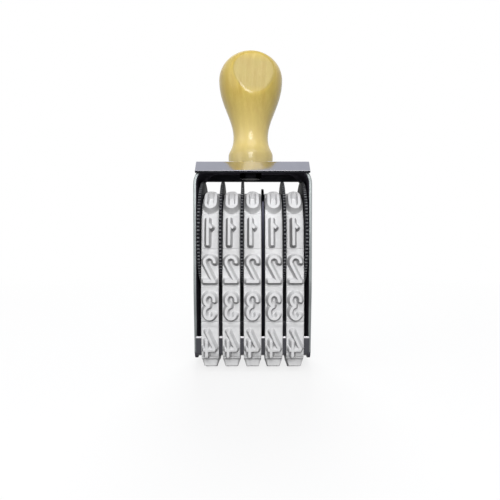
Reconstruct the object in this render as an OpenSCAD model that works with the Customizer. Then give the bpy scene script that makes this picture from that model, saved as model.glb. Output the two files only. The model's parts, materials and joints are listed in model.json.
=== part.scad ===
// Five-band hand numbering stamp with a turned wooden handle.
// Millimetres, +Z up, front towards -Y. The printing faces lie on Z = 0,
// below the middle of the frame.

/* [Rubber bands] */
// Width of one rubber band
band_w = 5.85; // [4.5:0.05:8]
// Thickness of a band under its characters
band_t = 1.5; // [1:0.1:2]
// Height of the characters above the band
relief = 2.2; // [1.6:0.1:3]
// Height of the wide foot under each character's printing face
foot_step = 1; // [0.5:0.1:1.4]
// Height of a character at its printing face
digit_h = 8.9; // [8:0.1:10.6]
// Width of a character at its printing face
digit_w = 4.2; // [4:0.1:5]
// Width of a stroke at the printing face
stroke_face = 1.1; // [0.9:0.05:1.5]
// Width of a stroke at the foot
stroke_foot = 2; // [1.6:0.05:2.1]
// Room between a character's printing face and the line below it
digit_margin = 1.1; // [0.2:0.1:1.2]
// Depth of the groove between two places of a band
groove_d = 0.25; // [0.1:0.05:0.5]
// Width of the groove between two places of a band
groove_w = 0.6; // [0.3:0.1:1]
// Places round a band: ten figures, and the rest stay blank
places = 13; // [12:1:13]
// How far the bands are rolled, from the crest to the line between 0 and 1
band_roll = 15.85; // [10:0.01:22]

/* [Band path] */
// Height of the axle above the printing faces
axle_h = 46.56; // [42:0.02:52]
// Radius of the gentle outward bow of a free run
bow_r = 200; // [150:5:400]
// Angle at which a band leaves its drum, outward from straight down
bow_out = 6; // [3:0.5:7]
// Radius of a band's base over the lower corner of the platen
corner_r = 3.5; // [3:0.1:4.5]
// Slope of the shoulders beside the flat printing pad
shoulder_slope = 18; // [12:1:25]
// Depth of the flat printing pad, front to back
pad_d = 11.2; // [8:0.2:13]
// Radius of a band's base at the edge of the pad
pad_edge_r = 3; // [2.5:0.1:4]

/* [Wheels] */
// Radius of the drum that carries a band
drum_r = 13; // [12:0.05:14.5]
// Room between a drum and its band
drum_gap = 0.15; // [0.1:0.05:0.4]
// Outer radius of a thumb disc
disc_r = 19; // [17.5:0.1:19.5]
// Thickness of a thumb disc
disc_t = 0.9; // [0.7:0.05:1.6]
// Room between a thumb disc and the bands beside it
disc_gap = 0.175; // [0.1:0.005:0.4]
// Teeth round a thumb disc
teeth = 96; // [72:4:120]
// Depth of the teeth
tooth_d = 0.45; // [0.2:0.05:0.8]
// Room beside a wheel, at its far side
wheel_gap = 0.2; // [0.1:0.05:0.4]

/* [Axle] */
// Radius of the axle
axle_r = 1.2; // [1:0.05:1.5]
// Radial room between the axle and what turns on it
axle_fit = 0.05; // [0.02:0.01:0.09]
// Radius of a rivet head
rivet_r = 1.6; // [1.55:0.05:3]
// Height of a rivet head
rivet_h = 1.1; // [0.5:0.1:2]
// Outer radius of a washer
washer_r = 3; // [2:0.1:6]
// Thickness of a washer
washer_t = 0.7; // [0.4:0.1:1.2]

/* [Frame] */
// Thickness of the frame's sheet
sheet = 1; // [0.6:0.1:1.6]
// Room between the thumb discs and the nut under the frame's top
nut_room = 0.94; // [0.4:0.02:6]
// Outer radius of the frame's two shoulders
shoulder_r = 7; // [3:0.5:9]
// Half of the frame's depth near the top
top_half = 13; // [11.5:0.1:13.4]
// Half of the top web's depth, under the cover
web_half = 10; // [7:0.1:10.2]
// Half of a leg's depth where it starts to taper
waist_half = 12; // [10:0.1:13]
// How far below the axle a leg starts to taper
waist_drop = 19.5; // [10:0.5:26]
// Half of a leg's depth at its foot
foot_half = 8.5; // [7:0.1:10]
// Height of the legs' feet above the printing faces
foot_z = 3; // [2.4:0.1:4]
// Radius of the round corners of the feet
foot_r = 3; // [1:0.1:5]

/* [Platen] */
// Thickness of the platen's sheet
platen_t = 0.8; // [0.5:0.1:0.9]
// Height of the platen's front and back walls above the printing faces
wall_top = 12; // [9:0.1:18]
// Height of the cross bar
bar_h = 3; // [2:0.1:3.6]
// Half of the cross bar's depth
bar_half = 6; // [3:0.1:6.6]
// How far the clenched ends of the bar stand out of the legs
clench = 0.4; // [0.2:0.1:1]

/* [Partition] */
// Thickness of the middle partition
part_t = 0.8; // [0.5:0.05:0.95]
// Radius of its round top, about the axle
part_r = 16.3; // [15:0.1:17]
// Half of its depth
part_half = 12; // [8:0.1:12.4]
// Half of its depth at its foot
part_foot_half = 8; // [4:0.1:9]

/* [Cover] */
// Thickness of the cover
cover_t = 1; // [0.6:0.1:1.6]
// How far each end of the cover stays inside the legs' outer faces
cover_inset = 0.75; // [0.2:0.05:3]
// Half of the flat part's depth, to the middle of the bend
cover_half = 10.8; // [10.6:0.1:12]
// Slope of the front and back flanges below the flat
flange_slope = 44; // [35:0.5:55]
// Length of a flange along its slope
flange_l = 5.25; // [3:0.05:7]
// Radius of the bend, on the middle of the sheet
flange_r = 1.2; // [1:0.1:2.5]
// Radius of the cover's upper corners, seen from the front
cover_corner_r = 0.7; // [0.3:0.1:2]

/* [Handle] */
// Height of the handle above the cover
handle_h = 42.1; // [36:0.1:55]
// Radius of the handle's head
head_r = 11.48; // [9:0.02:14]
// Height of the head's round top above its widest place
head_rise = 11.2; // [8:0.1:14]
// Radius of the neck
neck_r = 6.29; // [4.5:0.01:7.5]
// Height of the neck above the cover
neck_z = 10; // [7:0.1:14]
// Radius of the foot
handle_foot_r = 8.06; // [7.6:0.02:10]
// Height at which the foot is widest
handle_foot_z = 3.3; // [2:0.1:4.5]
// Small round at the foot's lower edge
foot_edge = 0.6; // [0.2:0.1:1.5]
// Distance of the thumb flat from the middle of the head
flat_dist = 9.1; // [8:0.1:11]
// Radius of the flat's slight crown from top to bottom
flat_crown = 75; // [50:5:200]
// How far the thumb flat turns towards +X
flat_turn = 8; // [-20:1:20]
// How far the thumb flat looks up
flat_tilt = 11.5; // [5:0.5:15]
// Sideways offset of the handle and its nut
handle_x = -0.7; // [-2:0.1:2]

/* [Stud and nut] */
// Radius of the stud
stud_r = 2.4; // [1.5:0.1:2.8]
// Radial room round the stud
stud_fit = 0.05; // [0.02:0.01:0.2]
// Length of the stud inside the handle
stud_in = 16; // [8:0.5:20]
// Width of the nut across its flats
nut_af = 6.8; // [6.4:0.1:9]
// Height of the nut
nut_h = 3; // [2:0.1:3.2]

/* [Hidden] */

big = 200;
deg = 180 / PI;
round_fn = 96;

// Across the stamp: bands, discs, washers and legs share one stack
band_gap = disc_t + 2 * disc_gap;
band_pitch = band_w + band_gap;
disc_off = band_pitch / 2;
outer_disc_face = 2 * band_pitch + disc_off + disc_t / 2;
leg_in = outer_disc_face + wheel_gap + washer_t;
leg_out = leg_in + sheet;

// Heights above the printing faces
nut_z = axle_h + disc_r + nut_room;
frame_top = nut_z + nut_h + sheet;
cover_top = frame_top + cover_t;
pad_z = relief;
platen_out_z = pad_z + band_t;
bar_z = platen_out_z + platen_t;
part_z = bar_z + bar_h;

// Path of a band's base, front half, as arcs and straight runs.
// A heading is measured from straight down towards the inside.
path_r = drum_r + drum_gap + band_t;
lean = 90 - shoulder_slope;
pad_half = pad_d / 2;
pad_edge_d = pad_half + pad_edge_r * cos(lean);
drop = axle_h - pad_z;
bow_rhs = drop + path_r * sin(bow_out) - bow_r * sin(bow_out) - corner_r * sin(lean)
    - pad_edge_r * (1 - sin(lean))
    - (path_r * cos(bow_out) - bow_r * cos(bow_out) + corner_r * cos(lean) - pad_edge_d) / tan(lean);
bow_in = lean - acos(sin(lean) * bow_rhs / (bow_r - corner_r));
d1 = path_r * cos(bow_out);
h1 = path_r * sin(bow_out);
s1 = path_r * (90 - bow_out) / deg;
d2 = d1 + bow_r * (cos(bow_in) - cos(bow_out));
h2 = h1 - bow_r * (sin(bow_in) + sin(bow_out));
s2 = s1 + bow_r * (bow_in + bow_out) / deg;
d3 = d2 + corner_r * (cos(lean) - cos(bow_in));
h3 = h2 - corner_r * (sin(lean) - sin(bow_in));
s3 = s2 + corner_r * (lean - bow_in) / deg;
s4 = s3 + (d3 - pad_edge_d) / sin(lean);
h4 = h3 - (s4 - s3) * cos(lean);
s5 = s4 + pad_edge_r * (90 - lean) / deg;
half_loop = s5 + pad_half;
loop = 2 * half_loop;
place = loop / places;

function heading(s) =
    s > half_loop ? 180 - heading(loop - s) :
    s < s1 ? -90 + s / path_r * deg :
    s < s2 ? -bow_out + (s - s1) / bow_r * deg :
    s < s3 ? bow_in + (s - s2) / corner_r * deg :
    s < s4 ? lean :
    s < s5 ? lean + (s - s4) / pad_edge_r * deg : 90;

// Point of the base's outer surface at s, as [depth in front, height over the axle]
function front_pt(s) = let (a = heading(s))
    s < s1 ? [path_r * sin(s / path_r * deg), path_r * cos(s / path_r * deg)] :
    s < s2 ? [d1 + bow_r * (cos(a) - cos(bow_out)), h1 - bow_r * (sin(a) + sin(bow_out))] :
    s < s3 ? [d2 + corner_r * (cos(a) - cos(bow_in)), h2 - corner_r * (sin(a) - sin(bow_in))] :
    s < s4 ? [d3 - (s - s3) * sin(lean), h3 - (s - s3) * cos(lean)] :
    s < s5 ? [pad_edge_d + pad_edge_r * (cos(a) - cos(lean)), h4 - pad_edge_r * (sin(a) - sin(lean))] :
    [half_loop - s, -drop];

// Point [y, z] at s, moved out of the base by off
function path_pt(s0, off) =
    let (s = s0 - loop * floor(s0 / loop), rear = s > half_loop,
        p = front_pt(rear ? loop - s : s), a = heading(rear ? loop - s : s),
        q = p + off * [cos(a), -sin(a)])
    [(rear ? 1 : -1) * q[0], axle_h + q[1]];

// Places where the path needs a point, over two turns, in rising order
half_knots = concat([for (i = [0:16]) s1 * i / 17], [for (i = [0:9]) s1 + (s2 - s1) * i / 10],
    [for (i = [0:7]) s2 + (s3 - s2) * i / 8], [s3, s4], [for (i = [1:2]) s4 + (s5 - s4) * i / 3], [s5]);
knots1 = concat(half_knots, [for (i = [len(half_knots) - 1:-1:1]) loop - half_knots[i]]);
knots = concat(knots1, [for (s = knots1) s + loop]);
tiny = 0.02;

function between(a, b) = [for (s = knots) if (s > a + tiny && s < b - tiny) s];
function line_at(k) = band_roll + (k - 1) * place + (band_roll - place < 0 ? loop : 0);

// Closed outline of a band's outer side, with a groove at each line
function band_outer() = [for (k = [0:places - 1])
    let (a = line_at(k), b = line_at(k + 1), g = groove_w / 2)
    each concat([path_pt(a, -groove_d), path_pt(a + g, 0)],
        [for (s = between(a + g, b - g)) path_pt(s, 0)], [path_pt(b - g, 0)])];

// Strip that follows the path from a to b between two heights
function strip(a, b, lo, hi) =
    let (m = concat([a], between(a, b), [b]), n = len(m))
    concat([for (s = m) path_pt(s, hi)], [for (i = [n - 1:-1:0]) path_pt(m[i], lo)]);

// Lines with a width
function unit(v) = v / norm(v);
function normal(a, b) = let (u = unit(b - a)) [-u[1], u[0]];
function mitre(p, i) = let (n = len(p) - 1,
        a = i == 0 ? normal(p[0], p[1]) : normal(p[i - 1], p[i]),
        b = i == n ? a : normal(p[i], p[i + 1]))
    (a + b) / (1 + a * b);
function stretched(p, e) = let (n = len(p) - 1)
    [for (i = [0:n]) i == 0 ? p[0] - e * unit(p[1] - p[0]) : i == n ? p[n] + e * unit(p[n] - p[n - 1]) : p[i]];
function stroke(p, w) = let (n = len(p) - 1)
    concat([for (i = [0:n]) p[i] + mitre(p, i) * w / 2], [for (i = [n:-1:0]) p[i] - mitre(p, i) * w / 2]);
function arc(c, rx, ry, a0, a1, n) =
    [for (i = [0:n]) c + [rx * cos(a0 + (a1 - a0) * i / n), ry * sin(a0 + (a1 - a0) * i / n)]];

// Outline with the corner at p[i] rounded by r[i]
function wrap(a) = a - 360 * floor((a + 180) / 360);
function rounded(p, r, n = 6) = let (m = len(p)) [for (i = [0:m - 1])
    let (c = p[i], u = unit(p[(i + m - 1) % m] - c), v = unit(p[(i + 1) % m] - c), h = acos(u * v) / 2)
    each (r[i] == 0 ? [c] : let (o = c + unit(u + v) * r[i] / sin(h), q = c + u * r[i] / tan(h) - o,
        e = c + v * r[i] / tan(h) - o, a = atan2(q[1], q[0]), w = wrap(atan2(e[1], e[0]) - a))
        [for (k = [0:n]) o + r[i] * [cos(a + w * k / n), sin(a + w * k / n)]])];

// Figures, upright and readable; w is the width of the stroke
line_x = (digit_w - stroke_face) / 2;
line_y = (digit_h - stroke_face) / 2;

module line2d(p, w) polygon(stroke(stretched(p, (w - stroke_face) / 2), w));

module ring2d(c, rx, ry, w) difference() {
    polygon(arc(c, rx + w / 2, ry + w / 2, 0, 345, 23));
    polygon(arc(c, rx - w / 2, ry - w / 2, 0, 345, 23));
}

module oblong2d(hw, hh) polygon(concat(arc([0, hh - hw], hw, hw, 0, 180, 10), arc([0, hw - hh], hw, hw, 180, 360, 10)));

module figure_0(w) difference() {
    oblong2d(line_x + w / 2, line_y + w / 2);
    oblong2d(line_x - w / 2, line_y - w / 2);
}

module figure_1(w) {
    stem = digit_w * 0.16;
    line2d([[stem, -digit_h / 2], [stem, digit_h / 2]], w);
    line2d([[stem, digit_h * 0.4], [-digit_w * 0.24, digit_h * 0.16]], w);
}

module figure_2(w) {
    line2d(concat(arc([0, line_y - line_x], line_x, line_x, 195, -28, 11), [[-line_x, -line_y]]), w);
    line2d([[-digit_w / 2, -line_y], [digit_w / 2, -line_y]], w);
}

module figure_3(w) {
    line2d(arc([0, line_y / 2], line_x, line_y / 2, 160, -100, 12), w);
    line2d(arc([0, -line_y / 2], line_x, line_y / 2, 100, -160, 12), w);
}

module figure_4(w) {
    stem = digit_w * 0.24;
    bar = -digit_h * 0.24;
    line2d([[stem, digit_h * 0.09], [stem, -digit_h / 2]], w);
    line2d([[-digit_w * 0.45, bar], [digit_w / 2, bar]], w);
    line2d([[stem, digit_h * 0.45], [-digit_w * 0.42, bar]], w);
}

module figure_5(w) {
    line2d([[digit_w / 2, line_y], [-line_x, line_y], [-line_x, line_y * 0.1]], w);
    line2d(arc([-line_x * 0.08, -line_y * 0.45], line_x * 1.08, line_y * 0.55, 150, -150, 12), w);
}

module figure_6(w) {
    ring2d([0, -line_y * 0.44], line_x, line_y * 0.56, w);
    line2d(concat([[-line_x, -line_y * 0.44]], arc([0, line_y - line_x], line_x, line_x, 180, 20, 8)), w);
}

module figure_7(w) {
    line2d([[-digit_w / 2, line_y], [digit_w / 2, line_y]], w);
    line2d([[line_x, line_y], [-line_x * 0.3, -digit_h / 2]], w);
}

module figure_8(w) {
    ring2d([0, line_y * 0.54], line_x * 0.94, line_y * 0.46, w);
    ring2d([0, -line_y * 0.46], line_x, line_y * 0.54, w);
}

module figure(n, w) {
    if (n == 0) figure_0(w);
    if (n == 1) figure_1(w);
    if (n == 2) figure_2(w);
    if (n == 3) figure_3(w);
    if (n == 4) figure_4(w);
    if (n == 5) figure_5(w);
    if (n == 6) figure_6(w);
    if (n == 7) figure_7(w);
    if (n == 8) figure_8(w);
    if (n == 9) rotate(180) figure_6(w);
}

module across(w) rotate([90, 0, 90]) linear_extrude(w, center = true) children();

// One character: a mirror-image figure cut from a layer that follows the band
module character(n, w, hi) {
    low = line_at(n + 1) - digit_margin;
    mid = low - digit_h / 2;
    p = path_pt(mid, 0);
    turn = mid - loop * floor(mid / loop);
    intersection() {
        translate([0, p[0], p[1]]) rotate([90 + heading(turn), 0, 0])
            translate([0, 0, -8]) linear_extrude(8 + relief * 3) mirror([1, 0]) figure(n, w);
        across(band_w) polygon(strip(low - digit_h - 1, low + digit_margin * 0.6, -band_t / 3, hi));
    }
}

module band(n) color("WhiteSmoke") translate([(n - 3) * band_pitch, 0, 0]) {
    across(band_w) difference() {
        polygon(band_outer());
        polygon([for (s = knots1) path_pt(s, -band_t)]);
    }
    for (c = [0:9]) {
        character(c, stroke_foot, foot_step);
        character(c, stroke_face, relief);
    }
}

// Side of a wheel on which its disc sits
function disc_side(n) = n <= 3 ? -1 : 1;

module on_axle(x) translate([x, 0, axle_h]) rotate([0, 90, 0]) children();

module wheel(n) color("DimGray") {
    x = (n - 3) * band_pitch;
    side = disc_side(n);
    near = disc_off - disc_t / 2;
    far = disc_off - disc_t / 2 - wheel_gap;
    lo = side < 0 ? x - near : x - far;
    on_axle(lo) difference() {
        cylinder(h = near + far, r = drum_r, $fn = round_fn);
        translate([0, 0, -1]) cylinder(h = near + far + 2, r = axle_r + axle_fit, $fn = 48);
    }
}

module disc(n) color([0.2, 0.2, 0.22]) {
    x = (n - 3) * band_pitch + disc_side(n) * disc_off;
    step = 360 / teeth;
    on_axle(x - disc_t / 2) difference() {
        linear_extrude(disc_t) polygon([for (i = [0:teeth - 1], k = [0:3])
            let (r = k == 1 || k == 2 ? disc_r : disc_r - tooth_d, a = (i + [-0.34, -0.16, 0.16, 0.34][k]) * step)
            r * [cos(a), sin(a)]]);
        translate([0, 0, -1]) cylinder(h = disc_t + 2, r = axle_r + axle_fit, $fn = 48);
    }
}

module arch2d(half, top, r) {
    translate([-half, -big]) square([2 * half, big + top - r]);
    translate([r - half, -big]) square([2 * (half - r), big + top]);
    for (s = [-1, 1]) translate([s * (half - r), top - r]) circle(r, $fn = round_fn);
}

// Side view of the frame: narrow web, full depth at the shoulders, tapered legs
leg_side = let (z1 = axle_h - waist_drop, z2 = frame_top - (top_half - web_half) * tan(flange_slope))
    [[-web_half, frame_top], [-top_half, z2], [-waist_half, z1], [-foot_half, foot_z],
    [foot_half, foot_z], [waist_half, z1], [top_half, z2], [web_half, frame_top]];

module frame() color("Silver") difference() {
    intersection() {
        rotate([90, 0, 0]) linear_extrude(4 * top_half, center = true) difference() {
            arch2d(leg_out, frame_top, shoulder_r);
            arch2d(leg_in, frame_top - sheet, shoulder_r - sheet);
        }
        across(2 * leg_out + 2) polygon(rounded(leg_side, [0, 1.5, 8, foot_r, foot_r, 8, 1.5, 0]));
    }
    on_axle(-leg_out - 1) cylinder(h = 2 * leg_out + 2, r = axle_r, $fn = 48);
    translate([-leg_out - 1, -bar_half, bar_z]) cube([2 * leg_out + 2, 2 * bar_half, bar_h]);
    translate([handle_x, 0, frame_top - 2 * sheet]) cylinder(h = 3 * sheet, r = stud_r + stud_fit, $fn = 64);
}

module axle() color("Silver") {
    on_axle(-leg_out) cylinder(h = 2 * leg_out, r = axle_r, $fn = 48);
    for (s = [-1, 1]) translate([s * leg_out, 0, axle_h]) rotate([0, 90 * s, 0]) rotate_extrude($fn = 64)
        polygon(concat([[0, 0], [rivet_r, 0]], arc([0, rivet_h * 0.25], rivet_r, rivet_h * 0.75, 0, 90, 6)));
}

module axle_washers() color("Gainsboro") for (s = [-1, 1])
    on_axle(s < 0 ? -leg_in : leg_in - washer_t) difference() {
        cylinder(h = washer_t, r = washer_r, $fn = 64);
        translate([0, 0, -1]) cylinder(h = washer_t + 2, r = axle_r + axle_fit, $fn = 48);
    }

// The platen follows the inner side of the bands, from one wall's top to the other
wall_s = let (n = 60, h = wall_top - axle_h) s1 + (s2 - s1) * lookup(-h, [for (i = [0:n])
    [-front_pt(s1 + (s2 - s1) * i / n)[1], i / n]]);

module platen() color("LightSteelBlue")
    across(2 * leg_in) polygon(strip(wall_s, loop - wall_s, -band_t - platen_t, -band_t));

module platen_bar() color("LightSteelBlue")
    translate([-leg_out - clench, -bar_half, bar_z]) cube([2 * (leg_out + clench), 2 * bar_half, bar_h]);

module centre_partition() color("Silver") difference() {
    translate([disc_off, 0, 0]) across(part_t) {
        intersection() {
            translate([0, axle_h]) circle(part_r, $fn = round_fn);
            translate([-part_half, axle_h - part_r]) square([2 * part_half, 2 * part_r]);
        }
        polygon([[-part_half, axle_h], [-part_half, wall_top + 4], [-part_foot_half, part_z],
            [part_foot_half, part_z], [part_half, wall_top + 4], [part_half, axle_h]]);
    }
    on_axle(0) cylinder(h = band_pitch, r = axle_r + axle_fit, $fn = 48);
}

cover_bend = cover_top - cover_t / 2;
cover_line = let (e = cover_half + flange_l * cos(flange_slope), z = cover_bend - flange_l * sin(flange_slope))
    [[-e, z], [-cover_half, cover_bend], [cover_half, cover_bend], [e, z]];

module cover_plate() color("Lavender") {
    half = leg_out - cover_inset;
    z = cover_line[0][1] - cover_t;
    difference() {
        intersection() {
            across(2 * half) polygon(stroke(rounded(cover_line, [0, flange_r, flange_r, 0]), cover_t));
            rotate([90, 0, 0]) linear_extrude(8 * cover_half, center = true) polygon(rounded(
                [[-half, z], [half, z], [half, cover_top], [-half, cover_top]], [0, 0, cover_corner_r, cover_corner_r]));
        }
        translate([handle_x, 0, cover_top - 3 * cover_t]) cylinder(h = 6 * cover_t, r = stud_r + stud_fit, $fn = 64);
    }
}

// The handle's outline: four smooth curves from the foot's edge to the crown
function bezier(a, b, c, d, n) = [for (i = [0:n]) let (t = i / n, u = 1 - t)
    u * u * u * a + 3 * u * u * t * b + 3 * u * t * t * c + t * t * t * d];
head_z = handle_h - head_rise;
flare = neck_z - handle_foot_z;
swell = head_z - neck_z;
handle_line = concat([[0, 0], [handle_foot_r - foot_edge * 1.2, 0]],
    bezier([handle_foot_r - foot_edge, 0], [handle_foot_r - foot_edge * 0.3, 0],
        [handle_foot_r, foot_edge * 0.6], [handle_foot_r, handle_foot_z], 5),
    [for (i = [1:10]) bezier([handle_foot_r, handle_foot_z], [handle_foot_r, handle_foot_z + flare * 0.25],
        [neck_r, neck_z - flare * 0.63], [neck_r, neck_z], 10)[i]],
    [for (i = [1:14]) bezier([neck_r, neck_z], [neck_r, neck_z + swell * 0.333],
        [head_r, head_z - swell * 0.416], [head_r, head_z], 14)[i]],
    arc([0, head_z], head_r, head_rise, 7.5, 90, 11));

module handle() color("BurlyWood") translate([handle_x, 0, cover_top]) difference() {
    rotate_extrude($fn = 128) polygon(handle_line);
    translate([0, 0, head_z]) rotate([0, 0, flat_turn]) translate([-head_r, -flat_dist, 0])
        rotate([-flat_tilt, 0, 0]) difference() {
            translate([0, -head_r, -head_r * 0.8]) cube([2 * head_r, head_r * 1.8, head_r * 2.4]);
            translate([-1, flat_crown, 0]) rotate([0, 90, 0]) cylinder(h = 2 * head_r + 2, r = flat_crown, $fn = 360);
        }
    translate([0, 0, -1]) cylinder(h = stud_in + 1, r = stud_r + stud_fit, $fn = 64);
}

module handle_stud() color("Silver") translate([handle_x, 0, nut_z])
    cylinder(h = cover_top + stud_in - nut_z, r = stud_r, $fn = 64);

module handle_nut() color("SlateGray") translate([handle_x, 0, nut_z]) difference() {
    cylinder(h = nut_h, r = nut_af / 2 / cos(30), $fn = 6);
    translate([0, 0, -1]) cylinder(h = nut_h + 2, r = stud_r + stud_fit, $fn = 64);
}

handle();
handle_stud();
handle_nut();
cover_plate();
frame();
axle();
axle_washers();
wheel(1);  // number_wheel_1
wheel(2);  // number_wheel_2
wheel(3);  // number_wheel_3
wheel(4);  // number_wheel_4
wheel(5);  // number_wheel_5
disc(1);  // thumb_disc_1
disc(2);  // thumb_disc_2
disc(3);  // thumb_disc_3
disc(4);  // thumb_disc_4
disc(5);  // thumb_disc_5
band(1);  // number_band_1
band(2);  // number_band_2
band(3);  // number_band_3
band(4);  // number_band_4
band(5);  // number_band_5
centre_partition();
platen();
platen_bar();
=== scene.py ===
import json
import math

import bmesh
import bpy
from mathutils import Matrix, Vector

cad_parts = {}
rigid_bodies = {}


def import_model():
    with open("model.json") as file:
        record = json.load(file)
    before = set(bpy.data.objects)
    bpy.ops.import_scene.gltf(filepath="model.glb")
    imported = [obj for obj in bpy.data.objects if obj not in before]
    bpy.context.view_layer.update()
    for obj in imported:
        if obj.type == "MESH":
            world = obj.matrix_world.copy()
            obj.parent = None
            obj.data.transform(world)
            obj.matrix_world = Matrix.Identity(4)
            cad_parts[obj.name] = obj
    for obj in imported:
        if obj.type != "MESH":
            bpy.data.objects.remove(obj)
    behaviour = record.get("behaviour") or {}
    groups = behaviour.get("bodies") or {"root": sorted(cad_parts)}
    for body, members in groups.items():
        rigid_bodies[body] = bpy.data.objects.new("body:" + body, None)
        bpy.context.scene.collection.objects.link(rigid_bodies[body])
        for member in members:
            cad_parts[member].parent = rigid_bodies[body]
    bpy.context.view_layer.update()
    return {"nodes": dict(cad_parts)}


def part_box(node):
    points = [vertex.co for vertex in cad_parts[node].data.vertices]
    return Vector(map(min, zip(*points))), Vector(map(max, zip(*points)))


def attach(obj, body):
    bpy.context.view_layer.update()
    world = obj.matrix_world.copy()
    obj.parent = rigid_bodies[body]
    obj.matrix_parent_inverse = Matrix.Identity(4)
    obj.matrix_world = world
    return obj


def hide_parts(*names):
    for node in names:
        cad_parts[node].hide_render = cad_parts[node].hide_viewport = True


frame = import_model()
scene = bpy.context.scene
mm = 0.001
root = "stamp_body"
print("frame loaded, nodes:", len(frame["nodes"]))


def sine(degrees):
    return math.sin(math.radians(degrees))


def cosine(degrees):
    return math.cos(math.radians(degrees))


def tangent(degrees):
    return math.tan(math.radians(degrees))


def newObject(name, mesh):
    piece = bpy.data.objects.new(name, mesh)
    scene.collection.objects.link(piece)
    return piece


def pointFacesOut(piece):
    shape = bmesh.new()
    shape.from_mesh(piece.data)
    bmesh.ops.remove_doubles(shape, verts=shape.verts, dist=1e-7)
    bmesh.ops.recalc_face_normals(shape, faces=shape.faces)
    shape.to_mesh(piece.data)
    shape.free()


def meshPiece(name, points, faces, solid=True, unit=mm):
    mesh = bpy.data.meshes.new(name)
    mesh.from_pydata([(x * unit, y * unit, z * unit) for x, y, z in points], [], faces)
    mesh.validate()
    piece = newObject(name, mesh)
    if solid:
        pointFacesOut(piece)
    return piece


def applyModifiers(piece):
    bpy.context.view_layer.update()
    shape = piece.evaluated_get(bpy.context.evaluated_depsgraph_get())
    mesh = bpy.data.meshes.new_from_object(shape)
    mesh.name = piece.name
    piece.modifiers.clear()
    piece.data = mesh
    return piece


def softenEdges(piece, width, segments, angle):
    bevel = piece.modifiers.new("edges", "BEVEL")
    bevel.width = width * mm
    bevel.segments = segments
    bevel.limit_method = "ANGLE"
    bevel.angle_limit = math.radians(angle)
    return applyModifiers(piece)


def markFaces(piece, name, howMuch):
    # face attribute from a function of each face's centre, in millimetres, and its normal
    values = [howMuch(polygon.center / mm, polygon.normal) for polygon in piece.data.polygons]
    piece.data.attributes.new(name, "FLOAT", "FACE").data.foreach_set("value", values)


def markInside(piece, middle, axes):
    # 1 where a bent sheet looks at the middle, along the axes given, or down: where painted shade goes
    def howMuch(centre, normal):
        away = ((centre - Vector(middle)) * Vector(axes)).normalized()
        return 1.0 if normal.dot(away) < -0.35 or normal.z < -0.3 else 0.0

    markFaces(piece, "inside", howMuch)


def place(piece, body, slot, material, *nodes, smooth=35):
    # smooths all edges flatter than the angle, dresses the piece and puts it on its body
    piece.data.shade_smooth()
    piece.data.set_sharp_from_angle(angle=math.radians(smooth))
    piece.data.materials.clear()
    piece.data.materials.append(material)
    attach(piece, body)
    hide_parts(*nodes)


def ringFaces(rows, around, closedRows=False):
    faces = []
    for i in range(rows if closedRows else rows - 1):
        for k in range(around):
            a, b = i * around, (i + 1) % rows * around
            faces.append((a + k, a + (k + 1) % around, b + (k + 1) % around, b + k))
    return faces


def lathe(name, profile, toPoint, around, closed=False):
    # profile is a list of (radius, height); toPoint turns (radius, angle, height) into x, y, z
    points = [toPoint(r, 2 * math.pi * k / around, h) for r, h in profile for k in range(around)]
    return meshPiece(name, points, ringFaces(len(profile), around, closed))


def bothEnds(right):
    # a whole profile along the axle from its right half
    return [(r, -x) for r, x in reversed(right)] + right


def arcPoints(cx, cy, rx, ry, start, end, steps=22):
    turn = [math.radians(start + (end - start) * k / steps) for k in range(steps + 1)]
    return [(cx + rx * math.cos(t), cy + ry * math.sin(t)) for t in turn]


def roundedSection(half, low, high, lowR, highR, steps=4, hold=0.35):
    # outline across a sheet, as (across, out), from the lower left corner round
    corners = [(-half + lowR, low + lowR, lowR, 180), (half - lowR, low + lowR, lowR, 270),
               (half - highR, high - highR, highR, 0), (-half + highR, high - highR, highR, 90)]
    out = []
    for cx, cy, r, start in corners:
        out += arcPoints(cx, cy, r, r, start, start + 90, steps)
        if start in (180, 0):       # points next to the corners keep the long sides shading flat
            way, far = (1, half - lowR) if start == 180 else (-1, half - highR)
            out += [(out[-1][0] + way * hold, out[-1][1]), (way * (far - hold), out[-1][1])]
    return out


def holdEnds(line, gap):
    # extra stations beside the ends of long straight runs, so that they shade flat
    out = [tuple(line[0])]
    for a, b in zip(line, line[1:]):
        a, b = Vector(a), Vector(b)
        on = (b - a).normalized() * gap
        if (b - a).length > 3 * gap:
            out += [tuple(a + on), tuple(b - on)]
        out.append(tuple(b))
    return out


def alongX(a, b, across):
    return across, a, b


def ribbon(name, line, sections, edge, toPoint=alongX):
    # sweeps a section (across, out) along a line of stations (a, b) in one plane and softens its edges
    points = []
    count = len(line)
    for i, (a, b) in enumerate(line):
        before, after = line[max(i - 1, 0)], line[min(i + 1, count - 1)]
        da, db = after[0] - before[0], after[1] - before[1]
        size = math.hypot(da, db)
        outA, outB = -db / size, da / size
        points += [toPoint(a + outA * out, b + outB * out, across) for across, out in sections(i)]
    around = len(sections(0))
    faces = ringFaces(count, around)
    faces.append(tuple(range(around)))
    faces.append(tuple(range((count - 1) * around, count * around)))
    return softenEdges(meshPiece(name, points, faces), edge, 2, 50)


def copyNode(name, node):
    # a merged copy of a node's mesh
    piece = newObject(name, frame["nodes"][node].data.copy())
    shape = bmesh.new()
    shape.from_mesh(piece.data)
    bmesh.ops.remove_doubles(shape, verts=shape.verts, dist=1e-6)
    bmesh.ops.dissolve_limit(shape, angle_limit=math.radians(0.5), verts=shape.verts, edges=shape.edges)
    shape.to_mesh(piece.data)
    shape.free()
    return piece


def addNode(tree, kind, inputs=(), **settings):
    # adds a node, links or sets its inputs, and gives its outputs
    node = tree.nodes.new(kind)
    for name, value in settings.items():
        setattr(node, name, value)
    for key, value in dict(inputs).items():
        if isinstance(value, bpy.types.NodeSocket):
            tree.links.new(value, node.inputs[key])
        else:
            node.inputs[key].default_value = value
    return node.outputs


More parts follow.
